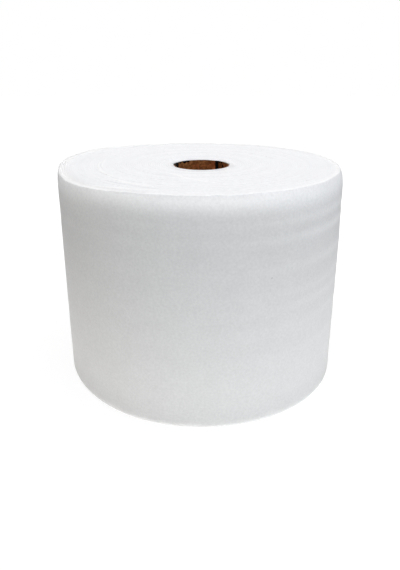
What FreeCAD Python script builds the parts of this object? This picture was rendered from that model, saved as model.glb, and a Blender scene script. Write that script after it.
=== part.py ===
"""Foam wrap roll: 12 in wide polyethylene foam sheet wound on a 3 in paperboard core.

The roll stands on one end. The origin is on the core's axis, on the plane that the roll
stands on, and +Z runs up the axis. Lengths are in millimetres and angles in degrees.
"""
import FreeCAD, Part
import math
import os

os.makedirs("parts", exist_ok=True)

# ---- Driving dimensions -----------------------------------------------------------------

# The foam
sheet_width = 304.8      # 12 in: the sheet's slit width, which is the standing roll's height
roll_diameter = 406.4    # 16 in: the widest diameter, taken through the sheet's free end
sheet_thickness = 3.175  # 1/8 in: one layer, which is also the step at the free end
layers_per_band = 4      # layers that lie level with each other as one ring of an end face
band_step = 1.0          # how far every second ring is sunk below the rings beside it
taper_height = 10.0      # length of wall, at each end, over which the soft edge draws in
taper_inset = 2.0        # how far the edge is drawn in where it reaches the end face
free_end_angle = 120.0   # where the sheet ends, counter-clockwise from +X seen from above

# The core
core_bore = 76.2         # 3 in: the inside diameter
core_wall = 3.0          # spirally wound kraft paperboard
core_drop = 3.5          # the core's upper end stops this far below the foam's

# ---- Sizes that follow ------------------------------------------------------------------

# Across the free end, one side of the roll is one layer further out than the other.
roll_radius = (roll_diameter - sheet_thickness) / 2
band_width = layers_per_band * sheet_thickness
core_outer_radius = core_bore / 2 + core_wall
core_length = sheet_width - core_drop

half_turn = 180.0
overrun = 5.0            # how far a cutting solid reaches past what it cuts
axis_foot = FreeCAD.Vector(0, 0, 0)
upwards = FreeCAD.Vector(0, 0, 1)


# ---- Helpers ----------------------------------------------------------------------------

def section_face(points):
    """A closed section in the XZ plane, from (radius, height) points in order."""
    corners = [FreeCAD.Vector(radius, 0, height) for radius, height in points]
    return Part.Face(Part.makePolygon(corners + corners[:1]))


def wind(section, step):
    """Turns a section into a solid whose radius grows by step in each full turn.

    section(growth) gives the section with every radius larger by growth. The near half
    turns about the core's axis and the far half about an axis half a step to its side, so
    the halves meet smoothly at -X, and at +X each layer runs into the next one out.
    """
    near_half = section_face(section(0)).revolve(axis_foot, upwards, -half_turn)

    far_foot = FreeCAD.Vector(step / 2, 0, 0)
    far_face = section_face(section(step / 2))
    far_face.translate(far_foot)
    far_half = far_face.revolve(far_foot, upwards, half_turn)

    return near_half.fuse(far_half)


def cylinder_through(radius):
    """A cylinder on the core's axis that reaches past both ends of the roll."""
    foot = FreeCAD.Vector(0, 0, -overrun)
    return Part.makeCylinder(radius, sheet_width + 2 * overrun, foot)


# ---- Foam -------------------------------------------------------------------------------

def layers_section(growth):
    """The wound layers, cut on one side of the axis, with the rings on both end faces."""
    innermost = core_outer_radius - sheet_thickness
    bands = math.ceil((roll_radius - innermost) / band_width)

    lower_end = []
    for bands_outside in reversed(range(bands)):
        sunk = band_step if bands_outside % 2 else 0
        outer = roll_radius - bands_outside * band_width
        inner = max(outer - band_width, innermost)
        lower_end += [(inner, sunk), (outer, sunk)]
    # The roll stands on its outermost ring, which ends where the taper starts.
    lower_end[-1] = (roll_radius - taper_inset, 0)
    lower_half = lower_end + [(roll_radius, taper_height)]

    upper_half = [(radius, sheet_width - height) for radius, height in reversed(lower_half)]
    return [(radius + growth, height) for radius, height in lower_half + upper_half]


def make_foam_roll():
    foam = wind(layers_section, sheet_thickness).cut(cylinder_through(core_outer_radius))
    foam.rotate(axis_foot, upwards, free_end_angle)
    return foam


# ---- Core -------------------------------------------------------------------------------

def make_core_tube():
    tube = Part.makeCylinder(core_outer_radius, core_length)
    return tube.cut(cylinder_through(core_bore / 2))


# ---- Output -----------------------------------------------------------------------------

pieces = {"foam_roll": make_foam_roll(), "core_tube": make_core_tube()}

for node, shape in pieces.items():
    shape.exportStep(f"parts/{node}.step")
    print(node, len(shape.Solids), "solid", f"{shape.Volume / 1000:.1f} cm3", shape.isValid())
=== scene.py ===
"""A roll of white polyethylene foam wrap on a kraft paperboard core, standing on its end.

Lengths are in metres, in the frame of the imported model: +Z runs up the core's axis from the
plane that the roll stands on, and -Y is the front.
"""
import math

import bpy
import numpy as np
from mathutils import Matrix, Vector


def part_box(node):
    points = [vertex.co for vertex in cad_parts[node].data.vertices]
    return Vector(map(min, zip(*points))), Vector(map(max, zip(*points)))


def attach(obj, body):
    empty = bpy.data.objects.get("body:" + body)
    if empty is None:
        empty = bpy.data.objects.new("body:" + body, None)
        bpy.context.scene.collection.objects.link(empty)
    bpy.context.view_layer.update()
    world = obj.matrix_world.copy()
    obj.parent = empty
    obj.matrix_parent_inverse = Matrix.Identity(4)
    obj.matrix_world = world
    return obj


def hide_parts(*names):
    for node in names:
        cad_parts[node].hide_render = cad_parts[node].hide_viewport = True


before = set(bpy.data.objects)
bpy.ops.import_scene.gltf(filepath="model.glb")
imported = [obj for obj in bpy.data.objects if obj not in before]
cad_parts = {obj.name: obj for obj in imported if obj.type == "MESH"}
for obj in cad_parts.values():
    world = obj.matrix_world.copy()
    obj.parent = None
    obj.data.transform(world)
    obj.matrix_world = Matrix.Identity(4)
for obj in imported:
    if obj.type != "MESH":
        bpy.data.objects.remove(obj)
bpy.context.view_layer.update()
bpy.ops.object.select_all(action="DESELECT")

MM = 0.001

# ---- Sizes read from the frame ------------------------------------------------------------

foam_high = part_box("foam_roll")[1]
core_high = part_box("core_tube")[1]

roll_height = foam_high.z
wall_radius = foam_high.x          # away from the free end, so without its extra layer
core_outer_radius = core_high.x
core_length = core_high.z

# ---- Sizes of its own ---------------------------------------------------------------------

sheet_thickness = 3.175 * MM       # 1/8 in
free_end_angle = math.radians(120)  # where the sheet ends, counter-clockwise from +X
free_end_lift = 0.6 * MM           # how far the sheet's end stands off the turn below it
layer_crown = 0.3 * MM             # height of a layer's cut edge above the gap beside it
layers_per_band = 4                # layers that lie level with each other
band_step = 0.3 * MM
soft_edge_height = 25.0 * MM       # the wall draws in towards the upper end over this much
soft_edge_inset = 3.0 * MM
rolled_edge_height = 10.0 * MM     # and more where the edge is rolled over, over this much
foot_height = 8.0 * MM             # and towards the lower end over this much
foot_inset = 1.2 * MM
dish_depth = 3.2 * MM              # the inner turns lie this much lower beside the core
dish_width = 50.0 * MM
ridge_height = 0.5 * MM            # ridges round the wall, where the sheet is thicker
ridge_half_width = 6.0 * MM

# Places round the roll that aren't as the rest: the middle and the half width, in degrees
# from the front with the left negative, and the size.
proud_rim = (-116, 26, 2.8 * MM)   # the outer turns stand up at the upper end
low_rim = (-53, 22, 4.2 * MM)      # and lie low
far_rim = (180, 45, 1.2 * MM)      # and lie low at the far side
rolled_left = (-55, 28, 1.2 * MM)  # the upper edge is rolled over
rolled_right = (70, 40, 0.9 * MM)
sharp_left = (-100, 35, 0.9)       # the soft edge is drawn in less, as a share of its inset
soft_right = (95, 45, 0.5)         # and more
slack_right = (95, 45, 1.2 * MM)   # the upper part of the wall is drawn in
worn_foot = (-65, 30, 2.0)         # the foot is drawn in more, as a share of its inset
sharp_foot = (70, 35, 0.9)         # and less
crease = (-36, 2.0, 0.25 * MM)     # a faint upright crease low on the wall

steps_in_half_turn = 72
wall_rows = 96
core_steps = 96
merge_distance = 0.01 * MM         # points closer than this are one
on_spot = 0.1 * MM                 # points this close to a line or plane count as on it

layer_count = math.ceil((wall_radius - core_outer_radius) / sheet_thickness) + 1
start_radius = wall_radius - layer_count * sheet_thickness

core_wall = 3.0 * MM
core_slack = 0.1 * MM              # keeps the core's paper clear of the foam around it
core_bore_radius = core_outer_radius - core_wall
plies = 5
strip_width = 100.0 * MM           # the paper strip that is wound into each ply
strip_pitch = strip_width / math.sqrt(1 - (strip_width / (2 * math.pi * core_bore_radius)) ** 2)
seam_width = 0.8 * MM
seam_depth = 0.25 * MM
glue_line_width = 0.3 * MM
glue_line_depth = 0.15 * MM

# What stands up from the upper end, as (degrees from the front, share of the wall's radius)
# along each, with its half width and height: turns that slipped, drag marks, and last the
# innermost turn.
raised_lines = (
    (((-96, 0.715), (-70, 0.735), (-51, 0.75)), 1.7 * MM, 1.2 * MM),
    (((-43, 0.79), (-21, 0.82)), 1.6 * MM, 0.9 * MM),
    (((-41, 0.95), (-18, 0.89)), 1.6 * MM, 0.8 * MM),
    (((-25, 0.44), (-16, 0.49), (-7, 0.545), (-1, 0.60), (6, 0.656)), 2.2 * MM, 0.4 * MM),
    (((-176, 0.21), (176, 0.21)), 2.2 * MM, 0.5 * MM),
)
line_fade = 3                      # degrees over which such a line starts and ends

# A gap that stands open between two turns, given in the same way but with its depth.
open_gap = (((-43, 0.835), (-19, 0.85)), 1.6 * MM, 0.7 * MM)

# Ridges round the wall: distance from the top and strength.
ridges_from_top = (
    (10 * MM, 0.5),
    (36.5 * MM, 1.0),
    (58 * MM, 1.0),
    (95 * MM, 0.5),
    (129 * MM, 0.35),
    (148 * MM, 0.45),
    (175 * MM, 0.25),
    (214 * MM, 0.2),
)

# Two specks of dirt on the foam.
specks = (
    (130.8 * MM, -118.7 * MM, roll_height - 0.4 * MM),
    (84.1 * MM, -183.2 * MM, 200.4 * MM),
)

# A stripe of black marker down the core's inside, and a darker stretch of paper beside it,
# counter-clockwise from +X.
stripe_angle = math.radians(52.2)
stripe_half_width = 3.1 * MM
darker_patch_angle = math.radians(25)
darker_patch_half_width = math.radians(27)

# Dark spots on the core's inside: place and radius. The first, at the left of the bore, is
# painted shade where the core meets the foam; the rest are dark marks.
dark_spots_and_painted_shade = (
    ((-37.0 * MM, 9.2 * MM, core_length - 2.0 * MM), 9.5 * MM),
    ((-31.5 * MM, 21.4 * MM, core_length + 0.5 * MM), 2.8 * MM),
    ((-25.2 * MM, 28.6 * MM, core_length + 1.0 * MM), 4.3 * MM),
    ((-20.5 * MM, 32.1 * MM, core_length + 1.5 * MM), 4.0 * MM),
    ((27.0 * MM, 27.0 * MM, core_length), 2.2 * MM),
    ((30.0 * MM, 23.5 * MM, core_length - 1.0 * MM), 1.6 * MM),
    ((31.6 * MM, 21.3 * MM, core_length - 6.0 * MM), 1.9 * MM),
)

random = np.random.default_rng(12)


# ---- Modelling helpers --------------------------------------------------------------------

def name_piece(name):
    """Names the object that an operator has just made and returns it."""
    piece = bpy.context.object
    piece.name = name
    piece.data.name = name
    return piece


def select_vertices(piece, chosen):
    """Selects the vertices for which chosen(place) is true, and stays in edit mode."""
    bpy.ops.object.mode_set(mode="EDIT")
    bpy.ops.mesh.select_mode(type="VERT")
    bpy.ops.mesh.select_all(action="DESELECT")
    bpy.ops.object.mode_set(mode="OBJECT")
    for vertex in piece.data.vertices:
        vertex.select = bool(chosen(vertex.co))
    bpy.ops.object.mode_set(mode="EDIT")


def apply_modifier(piece, kind, **settings):
    modifier = piece.modifiers.new(kind.title(), kind)
    for setting, value in settings.items():
        setattr(modifier, setting, value)
    bpy.ops.object.modifier_apply(modifier=modifier.name)


def read_places(piece):
    places = np.empty(len(piece.data.vertices) * 3)
    piece.data.vertices.foreach_get("co", places)
    return places.reshape(-1, 3)


def write_places(piece, places):
    piece.data.vertices.foreach_set("co", places.ravel())
    piece.data.update()


def write_attribute(piece, name, values):
    attribute = piece.data.attributes.new(name, "FLOAT", "POINT")
    attribute.data.foreach_set("value", values.astype(np.float32))


def ease(value, low, high):
    """0 below low and 1 above high, with a smooth rise between them."""
    share = np.clip((value - low) / (high - low), 0, 1)
    return share * share * (3 - 2 * share)


def hump(value, middle, half_width):
    """1 at the middle, falling smoothly to almost nothing two half widths away."""
    return np.exp(-((value - middle) / half_width) ** 2)


def uneven_place(bearing, place):
    """The size that one of the places round the roll has at each bearing."""
    middle, half_width, size = place
    return hump(bearing, middle, half_width) * size


def draws_in(from_edge, height):
    """1 at an edge, falling in a curve to 0 at a height above or below it."""
    return np.clip(1 - from_edge / height, 0, 1) ** 2


def wander(position, step, size):
    """A smooth random line: it has a new random height of about size after every step."""
    knots = np.arange(position.min() - 2 * step, position.max() + 3 * step, step)
    heights = random.normal(0, size, len(knots))
    share = (position - knots[0]) / step
    before = np.floor(share).astype(int)
    blend = share - before
    blend = blend * blend * (3 - 2 * blend)
    return heights[before] * (1 - blend) + heights[before + 1] * blend


# ---- Foam roll ----------------------------------------------------------------------------

def add_section():
    """The outline of a section through the wound layers, from the core out to the wall."""
    gap_height = roll_height / 2 - layer_crown
    first_middle = start_radius + sheet_thickness / 2
    bpy.ops.mesh.primitive_circle_add(
        vertices=8,
        radius=sheet_thickness / 2,
        location=(first_middle, 0, gap_height),
        rotation=(math.pi / 2, 0, 0),
    )
    section = name_piece("foam_roll_wound")
    bpy.ops.object.transform_apply(location=True, rotation=True, scale=True)

    # One layer's cut edge is the upper half of the circle, flattened into a low crown.
    select_vertices(section, lambda place: place.z < gap_height - on_spot)
    bpy.ops.mesh.delete(type="VERT")
    bpy.ops.mesh.select_all(action="SELECT")
    bpy.ops.transform.resize(
        value=(1, 1, layer_crown / (sheet_thickness / 2)),
        center_override=(first_middle, 0, gap_height),
    )
    bpy.ops.object.mode_set(mode="OBJECT")
    apply_modifier(
        section,
        "ARRAY",
        count=layer_count,
        use_relative_offset=False,
        use_constant_offset=True,
        constant_offset_displace=(sheet_thickness, 0, 0),
        use_merge_vertices=True,
        merge_threshold=merge_distance,
    )
    apply_modifier(section, "MIRROR", use_axis=(False, False, True))

    for radius, rows in ((start_radius, 1), (wall_radius, wall_rows)):
        select_vertices(section, lambda place: abs(place.x - radius) < on_spot)
        bpy.ops.mesh.edge_face_add()
        if rows > 1:
            bpy.ops.mesh.subdivide(number_cuts=rows - 1)
    return section


def wind(section):
    """Spins the section into the roll, so that each turn ends one layer further out.

    One half turns about the core's axis and the other about an axis half a layer aside.
    """
    bpy.ops.mesh.select_all(action="SELECT")
    bpy.ops.mesh.spin(
        steps=steps_in_half_turn, angle=math.pi, center=(0, 0, 0), axis=(0, 0, 1)
    )
    select_vertices(section, lambda place: abs(place.y) < merge_distance and place.x > 0)
    bpy.ops.mesh.duplicate()
    bpy.ops.transform.translate(value=(sheet_thickness, 0, 0))
    bpy.ops.mesh.spin(
        steps=steps_in_half_turn,
        angle=-math.pi,
        center=(sheet_thickness / 2, 0, 0),
        axis=(0, 0, 1),
    )
    bpy.ops.mesh.select_all(action="SELECT")
    bpy.ops.mesh.remove_doubles(threshold=merge_distance)
    bpy.ops.mesh.select_all(action="SELECT")
    bpy.ops.mesh.fill_holes(sides=0)
    bpy.ops.mesh.select_all(action="SELECT")
    bpy.ops.mesh.normals_make_consistent(inside=False)
    bpy.ops.object.mode_set(mode="OBJECT")


def cut_bore(roll):
    """Cuts the hole that the core fills, along the core's outside."""
    bpy.ops.mesh.primitive_cylinder_add(
        vertices=2 * steps_in_half_turn, radius=core_outer_radius, depth=2 * roll_height
    )
    cutter = name_piece("bore_cutter")
    bpy.ops.object.select_all(action="DESELECT")
    bpy.context.view_layer.objects.active = roll
    roll.select_set(True)
    apply_modifier(roll, "BOOLEAN", operation="DIFFERENCE", object=cutter, solver="EXACT")
    bpy.data.objects.remove(cutter)


def sheet_turns(places):
    """How many turns of the sheet lie between its free end and each place, and the gaps.

    The first number counts along the sheet. The second is 1 where two layers meet and falls
    to 0 within a tenth of a layer. The seam between the two halves belongs to the later turn.
    """
    far = places[:, 1] > 0
    middle = np.where(far, sheet_thickness / 2, 0)
    radius = np.hypot(places[:, 0] - middle, places[:, 1])
    depth = (wall_radius + middle - radius) / sheet_thickness
    turned = np.mod(np.arctan2(places[:, 1], places[:, 0] - middle), 2 * math.pi) / (2 * math.pi)
    turned = np.where(far | (turned > 0.4), turned, 1.0)
    from_gap = np.abs(depth - np.round(depth))
    gap = np.clip(1 - from_gap / 0.1, 0, 1)
    return np.floor(depth + 0.01) + turned, gap


def along_line(places, line, half_width):
    """1 on a line across the upper end, given as (degrees from the front, share of radius).

    It falls off over two half widths to each side, and over line_fade at both ends.
    """
    bearings, shares = zip(*line)
    radius = np.hypot(places[:, 0], places[:, 1])
    bearing = np.degrees(np.arctan2(places[:, 0], -places[:, 1]))
    line_radius = np.interp(bearing, bearings, shares) * wall_radius
    after_start = ease(bearing, bearings[0] - line_fade, bearings[0])
    before_end = ease(-bearing, -bearings[-1] - line_fade, -bearings[-1])
    near = hump(radius, line_radius, half_width) * after_start * before_end
    return near * (places[:, 2] > 0)


def shape_ends(roll, turns, gap):
    """Gives the cut ends the unevenness of a wound roll, with a few lips and an open gap."""
    places = read_places(roll)
    radius = np.hypot(places[:, 0], places[:, 1])
    bearing = np.degrees(np.arctan2(places[:, 0], -places[:, 1]))
    top = places[:, 2] > 0
    from_end = roll_height / 2 - np.abs(places[:, 2])
    at_end = 1 - ease(from_end, 0.5 * MM, 8 * MM)
    on_end = from_end < 2 * MM

    def layer_height(turn):
        """A layer's height: every second band is sunk, with a steep step between bands."""
        band = turn / layers_per_band
        settled = ease(band - np.floor(band), 0, 0.03)
        sunk = np.where(np.floor(band) % 2 == 1, settled, 1 - settled)
        return -band_step * sunk

    own = layer_height(np.maximum(turns, 0))
    outer = layer_height(np.maximum(turns - 1, 0))
    height = np.where(gap > 0.5, (own + outer) / 2, own)
    height += wander(turns, 0.31, 0.05 * MM) + wander(turns, 2.3, 0.1 * MM)

    # The outer turns stand proud or lie low in places, and the end dishes towards the core.
    outer_turns = ease(radius, wall_radius - 45 * MM, wall_radius - 5 * MM)
    sloping_turns = ease(radius, wall_radius - 28 * MM, wall_radius)
    inner_turns = 1 - ease(radius, core_outer_radius, core_outer_radius + dish_width)
    lift = outer_turns * uneven_place(bearing, proud_rim)
    lift -= outer_turns * uneven_place(np.abs(bearing), far_rim)
    lift -= sloping_turns * uneven_place(bearing, low_rim)
    lift -= inner_turns * dish_depth
    height += np.where(top, lift, 0)

    # The knife left the outermost turn's edge a little wavy.
    cut_edge = wander(bearing, 2.5, 0.22 * MM) * ease(180 - np.abs(bearing), 0, 5)
    height += cut_edge * hump(radius, wall_radius, 5 * MM)

    # Painted highlight: the raised lines are also made pure white in the colour.
    painted_lip_highlight = np.zeros(len(places))
    for line, half_width, rise in raised_lines:
        near = along_line(places, line, half_width)
        painted_lip_highlight = np.maximum(painted_lip_highlight, near)
        height += near * rise
    line, half_width, depth = open_gap
    split = along_line(places, line, half_width)
    height -= split * depth

    places[:, 2] += np.where(top, height, np.maximum(-height, 0)) * at_end
    write_places(roll, places)
    write_attribute(roll, "turn", turns)
    # The gap attribute paints shade into the gaps between layers and into the open gap.
    write_attribute(roll, "gap", np.maximum(gap, 0.7 * split) * on_end)
    write_attribute(roll, "painted_lip_highlight", painted_lip_highlight * on_end)


def shape_wall(roll, turns):
    """Draws the wall in at its soft edges and gives it the faint ridges of an uneven sheet."""
    places = read_places(roll)
    radius = np.hypot(places[:, 0], places[:, 1])
    outward = places[:, :2] / radius[:, None]
    bearing = np.degrees(np.arctan2(places[:, 0], -places[:, 1]))
    from_top = roll_height / 2 - places[:, 2]
    from_end = roll_height / 2 - np.abs(places[:, 2])
    at_wall = ease(radius, wall_radius - 18 * MM, wall_radius)

    soft_share = 1 + uneven_place(bearing, soft_right) - uneven_place(bearing, sharp_left)
    inset = soft_edge_inset * soft_share * draws_in(from_top, soft_edge_height)
    rolled_over = uneven_place(bearing, rolled_left) + uneven_place(bearing, rolled_right)
    inset += rolled_over * draws_in(from_top, rolled_edge_height)
    inset += uneven_place(bearing, slack_right) * (1 - ease(from_top, 50 * MM, 100 * MM))
    foot_share = 1 + uneven_place(bearing, worn_foot) - uneven_place(bearing, sharp_foot)
    inset += foot_inset * foot_share * draws_in(roll_height - from_top, foot_height)
    inset += uneven_place(bearing, crease) * ease(
        from_top, 0.55 * roll_height, 0.75 * roll_height
    )

    # The ridges are plain at the right and faint elsewhere.
    ridges = sum(
        strength * hump(from_top, ridge, ridge_half_width) for ridge, strength in ridges_from_top
    )
    ridges *= 0.2 + 0.8 * ease(bearing, 5, 65) * ease(-bearing, -150, -110)
    uneven = wander(from_top + 8 * MM * np.sin(np.radians(bearing)), 21 * MM, 0.08 * MM)
    free_end = free_end_lift * at_wall * (1 - ease(turns, 0, 0.02))

    shift = at_wall * (ridge_height * ridges + uneven - inset) + free_end
    places[:, :2] += outward * shift[:, None]
    write_places(roll, places)

    # Painted light: the foam is made whiter near the upper edge, a painted glow for the light that
    # comes through the outer turns there. A narrow line at the edge itself gets less of it, which
    # paints in a line of shade.
    reach = 19.5 * MM + 3.5 * MM * hump(bearing, 50, 25) + 6.5 * MM * hump(bearing, -60, 22)
    painted_edge_shade = (1 - ease(from_top, 1 * MM, 5 * MM)) * hump(bearing, 0, 38)
    glows = np.exp(-np.clip(from_top / reach, 0, None) ** 2.4)
    write_attribute(roll, "painted_rim_glow", glows * (1 - 0.6 * painted_edge_shade) * at_wall)
    # The ridges are also painted lighter in the colour, a painted highlight.
    write_attribute(roll, "ridge", ridges * at_wall)
    write_attribute(roll, "wall", at_wall * ease(from_end, 0, 1 * MM))


def build_foam_roll():
    roll = add_section()
    wind(roll)
    cut_bore(roll)
    turns, gap = sheet_turns(read_places(roll))
    roll.rotation_euler = (0, 0, free_end_angle)
    bpy.ops.object.transform_apply(location=True, rotation=True, scale=True)
    shape_ends(roll, turns, gap)
    shape_wall(roll, turns)
    roll.location = (0, 0, roll_height / 2)
    bpy.ops.object.transform_apply(location=True, rotation=True, scale=True)
    bpy.ops.object.shade_smooth_by_angle(angle=math.radians(30))
    return roll


# ---- Core tube ----------------------------------------------------------------------------

def wind_strip(name, radius, into_wall):
    """Winds one strip of paper into a wall that dips into the board where its edges meet.

    The wall reaches past both ends of the core, and is cut to length later. into_wall is the
    dip's depth, and is positive where the board lies outside of the wall.
    """
    rows = 16
    bpy.ops.mesh.primitive_plane_add(size=MM)
    wall = name_piece(name)
    bpy.ops.object.mode_set(mode="EDIT")
    bpy.ops.mesh.select_all(action="SELECT")
    bpy.ops.mesh.merge(type="CENTER")
    bpy.ops.transform.translate(value=(radius + into_wall, 0, -1.5 * strip_pitch))
    row_height = (strip_pitch - 2 * seam_width) / rows
    moves = [(-into_wall, 0, seam_width), *[(0, 0, row_height)] * rows, (into_wall, 0, seam_width)]
    for move in moves:
        bpy.ops.mesh.extrude_region_move(TRANSFORM_OT_translate={"value": move})
    bpy.ops.object.mode_set(mode="OBJECT")
    apply_modifier(
        wall,
        "SCREW",
        angle=2 * math.pi,
        steps=core_steps,
        render_steps=core_steps,
        screw_offset=strip_pitch,
        iterations=5,
    )
    return wall


def build_core_tube():
    outside = wind_strip("core_outside", core_outer_radius - core_slack, -seam_depth)
    core = wind_strip("core_tube_wound", core_bore_radius, seam_depth)
    bpy.ops.object.select_all(action="DESELECT")
    outside.select_set(True)
    core.select_set(True)
    bpy.context.view_layer.objects.active = core
    bpy.ops.object.join()

    bpy.ops.object.mode_set(mode="EDIT")
    bpy.ops.mesh.select_mode(type="VERT")
    bpy.ops.mesh.select_all(action="SELECT")
    bpy.ops.mesh.remove_doubles(threshold=merge_distance)
    for height, cut_away in ((0, "clear_inner"), (core_length, "clear_outer")):
        bpy.ops.mesh.select_all(action="SELECT")
        bpy.ops.mesh.bisect(plane_co=(0, 0, height), plane_no=(0, 0, 1), **{cut_away: True})
        bpy.ops.mesh.fill(use_beauty=True)
    bpy.ops.mesh.select_all(action="SELECT")
    bpy.ops.mesh.remove_doubles(threshold=merge_distance)
    bpy.ops.mesh.normals_make_consistent(inside=False)

    # The rims show the plies: a fine groove runs along each glue line between them. An inset
    # moves in from both borders of a rim at once, so two of them reach all four glue lines.
    bpy.ops.mesh.select_mode(type="FACE")
    bpy.ops.mesh.select_all(action="DESELECT")
    bpy.ops.object.mode_set(mode="OBJECT")
    for face in core.data.polygons:
        face.select = abs(face.normal.z) > 0.9
    bpy.ops.object.mode_set(mode="EDIT")
    ply = core_wall / plies
    for flat in (ply - glue_line_width / 2, ply - glue_line_width):
        for width, depth in (
            (flat, 0),
            (glue_line_width / 2, -glue_line_depth),
            (glue_line_width / 2, glue_line_depth),
        ):
            bpy.ops.mesh.inset(thickness=width, depth=depth, use_even_offset=False)
    bpy.ops.object.mode_set(mode="OBJECT")

    # The saw leaves the upper rim a little uneven.
    places = read_places(core)
    angle = np.arctan2(places[:, 1], places[:, 0])
    nicks = np.abs(wander(angle, 0.11, 0.15 * MM))
    places[:, 2] -= nicks * ease(places[:, 2], core_length - 3 * MM, core_length - 0.5 * MM)
    places[:, 2] = np.maximum(places[:, 2], 0)
    write_places(core, places)
    bpy.ops.object.shade_smooth_by_angle(angle=math.radians(30))
    return core


# ---- Materials ----------------------------------------------------------------------------

def paint(code):
    """An sRGB colour such as "#c0a080" as the linear colour that a shader takes."""
    parts = [int(code[place:place + 2], 16) / 255 for place in (1, 3, 5)]
    linear = [p / 12.92 if p <= 0.04045 else ((p + 0.055) / 1.055) ** 2.4 for p in parts]
    return (*linear, 1.0)


def add_node(tree, kind, inputs=(), **settings):
    """Adds a node; inputs maps a socket's name or number to a value or to another's output.

    On a colour Mix node the factor and the two colours are sockets 0, 6 and 7, and the result is
    output 2. On Map Range the value is socket 0, and 1 and 2 are mapped to 3 and 4.
    """
    node = tree.nodes.new(kind)
    for setting, value in settings.items():
        setattr(node, setting, value)
    for socket, value in dict(inputs).items():
        if isinstance(value, bpy.types.NodeSocket):
            tree.links.new(value, node.inputs[socket])
        else:
            node.inputs[socket].default_value = value
    return node


def start_material(name):
    material = bpy.data.materials.new(name)
    material.use_nodes = True
    material.node_tree.nodes.clear()
    return material, material.node_tree


def expanded_polyethylene():
    """Expanded polyethylene, foamed and extruded as a sheet: matt and milky white.

    Light soaks in and comes out again 10 to 20 mm away, so edges glow and shadows are soft.
    Its closed cells give a fine grain, and a knife cut shows each layer's edge.
    """
    material, tree = start_material("expanded_polyethylene_foam")
    place = add_node(tree, "ShaderNodeTexCoord").outputs["Object"]
    turn, gap, painted_lip_highlight, wall, painted_rim_glow, ridge = (
        add_node(tree, "ShaderNodeAttribute", attribute_name=name).outputs["Fac"]
        for name in ("turn", "gap", "painted_lip_highlight", "wall", "painted_rim_glow", "ridge")
    )

    cells = add_node(
        tree,
        "ShaderNodeTexVoronoi",
        {"Vector": place, "Scale": 1 / (1.8 * MM)},
        feature="SMOOTH_F1",
    )
    clouding = add_node(
        tree, "ShaderNodeTexNoise", {"Vector": place, "Scale": 1 / (25 * MM), "Detail": 3.0}
    )
    layer_tone = add_node(
        tree,
        "ShaderNodeTexNoise",
        {"W": turn, "Scale": 1.7, "Detail": 1.0},
        noise_dimensions="1D",
    )
    cut_end = add_node(
        tree,
        "ShaderNodeMix",
        {0: clouding.outputs["Fac"], 6: paint("#f4f5f6"), 7: paint("#fbfbfc")},
        data_type="RGBA",
    )
    # Painted shade: the wall is given a greyer colour than the cut ends of the same foam.
    wall_with_painted_shade = add_node(
        tree,
        "ShaderNodeMix",
        {0: clouding.outputs["Fac"], 6: paint("#d5d5d5"), 7: paint("#dbdbdb")},
        data_type="RGBA",
    )
    # Painted highlight: the wall is made lighter along its ridges, for the light that they catch.
    painted_ridge_light_share = add_node(tree, "ShaderNodeMath", {0: ridge, 1: 0.45}, operation="MULTIPLY")
    wall_with_painted_ridge_light = add_node(
        tree,
        "ShaderNodeMix",
        {0: painted_ridge_light_share.outputs[0], 6: wall_with_painted_shade.outputs[2], 7: paint("#f2f2f2")},
        data_type="RGBA",
    )
    # Painted shade: the gaps between layers, and the open gap, are made darker.
    painted_gap_shade_share = add_node(tree, "ShaderNodeMath", {0: gap, 1: 0.5}, operation="MULTIPLY")
    colour = cut_end.outputs[2]
    for share, over in (
        (layer_tone.outputs["Fac"], paint("#f6f7f8")),
        # painted shade in the gaps between layers
        (painted_gap_shade_share.outputs[0], paint("#d5d8dc")),
        # the wall's colour, with painted shade and with painted highlights along its ridges
        (wall, wall_with_painted_ridge_light.outputs[2]),
        # painted glow near the upper edge
        (painted_rim_glow, paint("#fefefe")),
        # painted highlight along the raised lines
        (painted_lip_highlight, paint("#ffffff")),
    ):
        colour = add_node(
            tree, "ShaderNodeMix", {0: share, 6: colour, 7: over}, data_type="RGBA"
        ).outputs[2]
    uneven_cells = add_node(
        tree, "ShaderNodeTexNoise", {"Vector": place, "Scale": 1 / (3 * MM), "Detail": 4.0}
    )
    cell_tone = add_node(
        tree,
        "ShaderNodeMapRange",
        {0: uneven_cells.outputs["Fac"], 1: 0.3, 2: 0.7, 3: 0.915, 4: 1.0},
    )
    colour = add_node(
        tree,
        "ShaderNodeMix",
        {0: 1.0, 6: colour, 7: cell_tone.outputs[0]},
        data_type="RGBA",
        blend_type="MULTIPLY",
    ).outputs[2]
    for speck in specks:
        off = add_node(tree, "ShaderNodeVectorMath", {0: place, 1: speck}, operation="DISTANCE")
        on_speck = add_node(
            tree,
            "ShaderNodeMapRange",
            {0: off.outputs["Value"], 1: 0.4 * MM, 2: 1.1 * MM, 3: 0.7, 4: 0.0},
        )
        colour = add_node(
            tree,
            "ShaderNodeMix",
            {0: on_speck.outputs[0], 6: colour, 7: paint("#9a9894")},
            data_type="RGBA",
        ).outputs[2]
    grain = add_node(
        tree,
        "ShaderNodeBump",
        {"Height": cells.outputs["Distance"], "Distance": 0.3 * MM, "Strength": 0.6},
    )
    shader = add_node(
        tree,
        "ShaderNodeBsdfPrincipled",
        {
            "Base Color": colour,
            "Normal": grain.outputs["Normal"],
            "Roughness": 0.8,
            "IOR": 1.5,
            "Specular IOR Level": 0.12,
            "Subsurface Weight": 1.0,
            "Subsurface Radius": (1.0, 1.0, 1.0),
            "Subsurface Scale": 14 * MM,
        },
    )
    add_node(tree, "ShaderNodeOutputMaterial", {"Surface": shader.outputs["BSDF"]})
    return material


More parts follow.
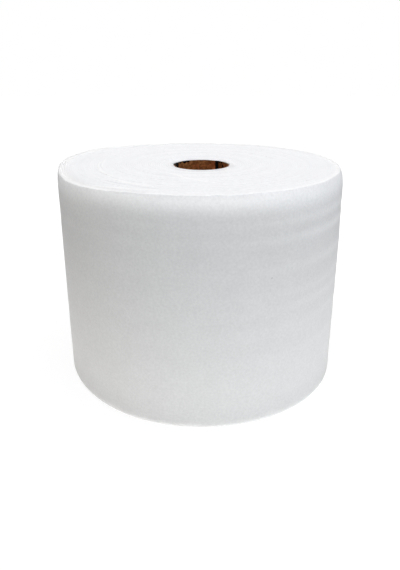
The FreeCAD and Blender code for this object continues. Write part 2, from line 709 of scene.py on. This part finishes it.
def kraft_paperboard():
    """Kraft paper strips wound and glued into a tube: brown, matt and fibrous.

    Streaks run along the wound strip, fibres gather in small flecks, and the strip's edges show
    as a darker spiral seam. A pale ply is wound on the outside. On the inside are a stripe of
    black marker, a darker stretch of paper beside it, and a few dark spots. Painted shade darkens
    the upper rim and a spot at the left of the bore, where the foam shades the core.
    """
    material, tree = start_material("kraft_paperboard_tube")
    place = add_node(tree, "ShaderNodeTexCoord").outputs["Object"]
    axes = add_node(tree, "ShaderNodeSeparateXYZ", {0: place})
    x, y, z = axes.outputs
    angle = add_node(tree, "ShaderNodeMath", {0: y, 1: x}, operation="ARCTAN2").outputs[0]
    turned = add_node(
        tree, "ShaderNodeMath", {0: angle, 1: 2 * math.pi}, operation="DIVIDE"
    ).outputs[0]
    pitches = add_node(
        tree, "ShaderNodeMath", {0: z, 1: strip_pitch}, operation="DIVIDE"
    ).outputs[0]
    spiral = add_node(tree, "ShaderNodeMath", {0: pitches, 1: turned}, operation="ADD").outputs[0]
    spiral = add_node(tree, "ShaderNodeMath", {0: spiral, 1: 0.5}, operation="ADD").outputs[0]
    across = add_node(tree, "ShaderNodeMath", {0: spiral}, operation="FRACT").outputs[0]
    across_size = add_node(
        tree, "ShaderNodeMath", {0: across, 1: strip_pitch * 4}, operation="MULTIPLY"
    ).outputs[0]
    strip_place = add_node(tree, "ShaderNodeCombineXYZ", {0: x, 1: y, 2: across_size}).outputs[0]

    streaks = add_node(
        tree, "ShaderNodeTexNoise", {"Vector": strip_place, "Scale": 1 / (10 * MM), "Detail": 5.0}
    )
    fibres = add_node(
        tree, "ShaderNodeTexNoise", {"Vector": place, "Scale": 1 / (3.5 * MM), "Detail": 3.0}
    )
    patches = add_node(
        tree, "ShaderNodeTexNoise", {"Vector": place, "Scale": 1 / (16 * MM), "Detail": 2.0}
    )
    sideways = add_node(
        tree, "ShaderNodeMapRange", {0: x, 1: -30 * MM, 2: 30 * MM, 3: -0.35, 4: 0.35}
    )
    redness = add_node(
        tree,
        "ShaderNodeMath",
        {0: sideways.outputs[0], 1: patches.outputs["Fac"]},
        operation="ADD",
        use_clamp=True,
    )
    streaky = add_node(
        tree, "ShaderNodeMapRange", {0: streaks.outputs["Fac"], 1: 0.33, 2: 0.67, 3: 0.0, 4: 1.0}
    )
    brown = add_node(
        tree,
        "ShaderNodeMix",
        {0: streaky.outputs[0], 6: paint("#a06f40"), 7: paint("#d99d5e")},
        data_type="RGBA",
    )
    warmer = add_node(
        tree,
        "ShaderNodeMix",
        {0: redness.outputs[0], 6: brown.outputs[2], 7: paint("#ca7446")},
        data_type="RGBA",
    )
    fibre_share = add_node(
        tree, "ShaderNodeMapRange", {0: fibres.outputs["Fac"], 1: 0.38, 2: 0.62, 3: 0.0, 4: 0.7}
    )
    fibrous = add_node(
        tree,
        "ShaderNodeMix",
        {0: fibre_share.outputs[0], 6: warmer.outputs[2], 7: paint("#744822")},
        data_type="RGBA",
    )

    def within(value, middle, half_width, edge, strength=1.0):
        """The strength where value is within half_width of the middle, with a soft edge."""
        distance = add_node(tree, "ShaderNodeMath", {0: value, 1: middle}, operation="SUBTRACT")
        distance = add_node(
            tree, "ShaderNodeMath", {0: distance.outputs[0]}, operation="ABSOLUTE"
        )
        inner, outer = half_width - edge, half_width + edge
        return add_node(
            tree,
            "ShaderNodeMapRange",
            {0: distance.outputs[0], 1: inner, 2: outer, 3: strength, 4: 0.0},
        ).outputs[0]

    seam_share = 2 * seam_width / strip_pitch
    seam = within(across, 1.0, seam_share, seam_share / 2)
    # Painted shade: the core is darker at its upper rim, under the foam's edge.
    rim_painted_shade = add_node(
        tree,
        "ShaderNodeMapRange",
        {0: z, 1: core_length - 1.2 * MM, 2: core_length - 0.4 * MM, 3: 0.0, 4: 0.8},
    ).outputs[0]
    flat_place = add_node(
        tree, "ShaderNodeVectorMath", {0: place, 1: (1, 1, 0)}, operation="MULTIPLY"
    )
    from_axis = add_node(
        tree, "ShaderNodeVectorMath", {0: flat_place.outputs[0]}, operation="LENGTH"
    ).outputs["Value"]
    pale_ply = within(from_axis, core_outer_radius, 1.3 * MM, 0.2 * MM)
    darker_beside_stripe = within(angle, darker_patch_angle, darker_patch_half_width, math.radians(3), 0.45)
    stripe = within(
        angle, stripe_angle, stripe_half_width / core_bore_radius, 0.5 * MM / core_bore_radius
    )
    marks = [
        (seam, "#6b4522"),
        (rim_painted_shade, "#5b3d22"),
        (pale_ply, "#d6d3cd"),
        (darker_beside_stripe, "#46381c"),
        (stripe, "#050201"),
    ]
    # Dark spots, the first of them painted shade where the core meets the foam.
    for dark_spot, size in dark_spots_and_painted_shade:
        off = add_node(tree, "ShaderNodeVectorMath", {0: place, 1: dark_spot}, operation="DISTANCE")
        marks.append((within(off.outputs["Value"], 0.0, size, 0.6 * MM), "#0a0502"))
    colour = fibrous.outputs[2]
    for share, code in marks:
        colour = add_node(
            tree, "ShaderNodeMix", {0: share, 6: colour, 7: paint(code)}, data_type="RGBA"
        ).outputs[2]

    grain = add_node(
        tree,
        "ShaderNodeBump",
        {"Height": fibres.outputs["Fac"], "Distance": 0.15 * MM, "Strength": 0.7},
    )
    shader = add_node(
        tree,
        "ShaderNodeBsdfPrincipled",
        {
            "Base Color": colour,
            "Normal": grain.outputs["Normal"],
            "Roughness": 0.85,
            "IOR": 1.5,
            "Specular IOR Level": 0.12,
        },
    )
    add_node(tree, "ShaderNodeOutputMaterial", {"Surface": shader.outputs["BSDF"]})
    return material


# ---- Camera, light and floor --------------------------------------------------------------

def add_camera():
    looks_down = math.radians(19.258)
    turned = math.radians(0.154)
    bpy.ops.object.camera_add(
        location=(0, -0.7686, 0.4463), rotation=(math.pi / 2 - looks_down, 0, turned)
    )
    camera = bpy.context.object
    camera.data.lens = 33.64
    camera.data.shift_y = -0.07
    camera.data.clip_start = 0.05
    camera.data.dof.use_dof = False
    bpy.context.scene.camera = camera


def add_softbox(name, place, target, size, watts, colour):
    """Adds a rectangular lamp that faces the target, its width level."""
    bpy.ops.object.light_add(type="AREA", location=place)
    lamp = bpy.context.object
    lamp.name = name
    lamp.data.shape = "RECTANGLE"
    lamp.data.size, lamp.data.size_y = size
    lamp.data.energy = watts
    lamp.data.color = paint(colour)[:3]
    toward = np.subtract(target, place)
    across = math.hypot(toward[0], toward[1])
    lamp.rotation_euler = (
        math.atan2(across, -toward[2]),
        0,
        math.atan2(toward[1], toward[0]) - math.pi / 2,
    )


def see_white(tree, seen, lit):
    """Shows seen to the camera and in reflections, and lets lit do the lighting."""
    path = add_node(tree, "ShaderNodeLightPath")
    either = add_node(
        tree,
        "ShaderNodeMath",
        {0: path.outputs["Is Camera Ray"], 1: path.outputs["Is Glossy Ray"]},
        operation="MAXIMUM",
    )
    any_view = add_node(
        tree,
        "ShaderNodeMath",
        {0: either.outputs[0], 1: path.outputs["Is Transmission Ray"]},
        operation="MAXIMUM",
    )
    return add_node(tree, "ShaderNodeMixShader", {0: any_view.outputs[0], 1: lit, 2: seen})


def light_studio():
    world = bpy.data.worlds.new("studio")
    world.use_nodes = True
    bpy.context.scene.world = world
    tree = world.node_tree
    tree.nodes.clear()
    white = add_node(tree, "ShaderNodeBackground", {"Color": paint("#ffffff"), "Strength": 1.0})
    room = add_node(tree, "ShaderNodeBackground", {"Color": paint("#fffbf6"), "Strength": 0.1})
    shown = see_white(tree, white.outputs[0], room.outputs[0])
    add_node(tree, "ShaderNodeOutputWorld", {"Surface": shown.outputs[0]})

    for name, place, target, size, watts, colour in (
        ("overhead_softbox", (0, 0, 1.5), (0, 0, 0), (1.6, 1.6), 20.5, "#fdfdff"),
        ("right_fill", (0.98, -1.25, 0.35), (0, 0, 0.1), (0.7, 0.7), 3.65, "#dcebff"),
        ("front_strip", (0.2, -1.4, 0.12), (0, 0, 0.1), (1.2, 0.2), 4.5, "#fdfefb"),
        ("back_fill", (0, 1.6, 0.15), (0, 0, 0.15), (0.8, 0.25), 6.0, "#ffffff"),
    ):
        add_softbox(name, place, target, size, watts, colour)


def add_floor():
    bpy.ops.mesh.primitive_plane_add(size=12.0, location=(0, 0, 0))
    floor = name_piece("floor")
    material, tree = start_material("white_paper_sweep")
    place = add_node(tree, "ShaderNodeTexCoord").outputs["Object"]
    away = add_node(tree, "ShaderNodeVectorMath", {0: place}, operation="LENGTH")

    # The table is darker close to the roll, which keeps the room's light from it, and its light
    # fades out further away. What shows rises to pure white towards the backdrop.
    beside_roll, out_on_table, toward_backdrop = (
        add_node(
            tree,
            "ShaderNodeMapRange",
            {0: away.outputs["Value"], 1: near, 2: far, 3: at_near, 4: at_far},
        ).outputs[0]
        for near, far, at_near, at_far in (
            (0.2, 0.3, 0.45, 1.0),
            (0.3, 0.75, 1.075, 0.0),
            (0.3, 1.0, 0.84, 1.0),
        )
    )
    paper = add_node(
        tree, "ShaderNodeBsdfDiffuse", {"Color": paint("#ededed"), "Roughness": 0.5}
    )
    table_glow = add_node(
        tree, "ShaderNodeMath", {0: beside_roll, 1: out_on_table}, operation="MULTIPLY"
    )
    table_light = add_node(
        tree,
        "ShaderNodeEmission",
        {"Color": paint("#fffdf9"), "Strength": table_glow.outputs[0]},
    )
    lit = add_node(tree, "ShaderNodeAddShader", {0: paper.outputs[0], 1: table_light.outputs[0]})
    dim_paper = add_node(
        tree, "ShaderNodeBsdfDiffuse", {"Color": paint("#8c8c8c"), "Roughness": 0.5}
    )
    glow = add_node(
        tree, "ShaderNodeEmission", {"Color": paint("#ffffff"), "Strength": toward_backdrop}
    )
    lifted = add_node(
        tree, "ShaderNodeAddShader", {0: dim_paper.outputs[0], 1: glow.outputs[0]}
    )
    shown = see_white(tree, lifted.outputs[0], lit.outputs[0])
    add_node(tree, "ShaderNodeOutputMaterial", {"Surface": shown.outputs[0]})
    floor.data.materials.append(material)


# ---- The scene ----------------------------------------------------------------------------

foam = build_foam_roll()
foam.data.materials.clear()
foam.data.materials.append(expanded_polyethylene())
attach(foam, "root")
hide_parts("foam_roll")

core = build_core_tube()
core.data.materials.clear()
core.data.materials.append(kraft_paperboard())
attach(core, "root")
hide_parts("core_tube")

add_floor()
add_camera()
light_studio()
bpy.context.scene.view_settings.view_transform = "Standard"
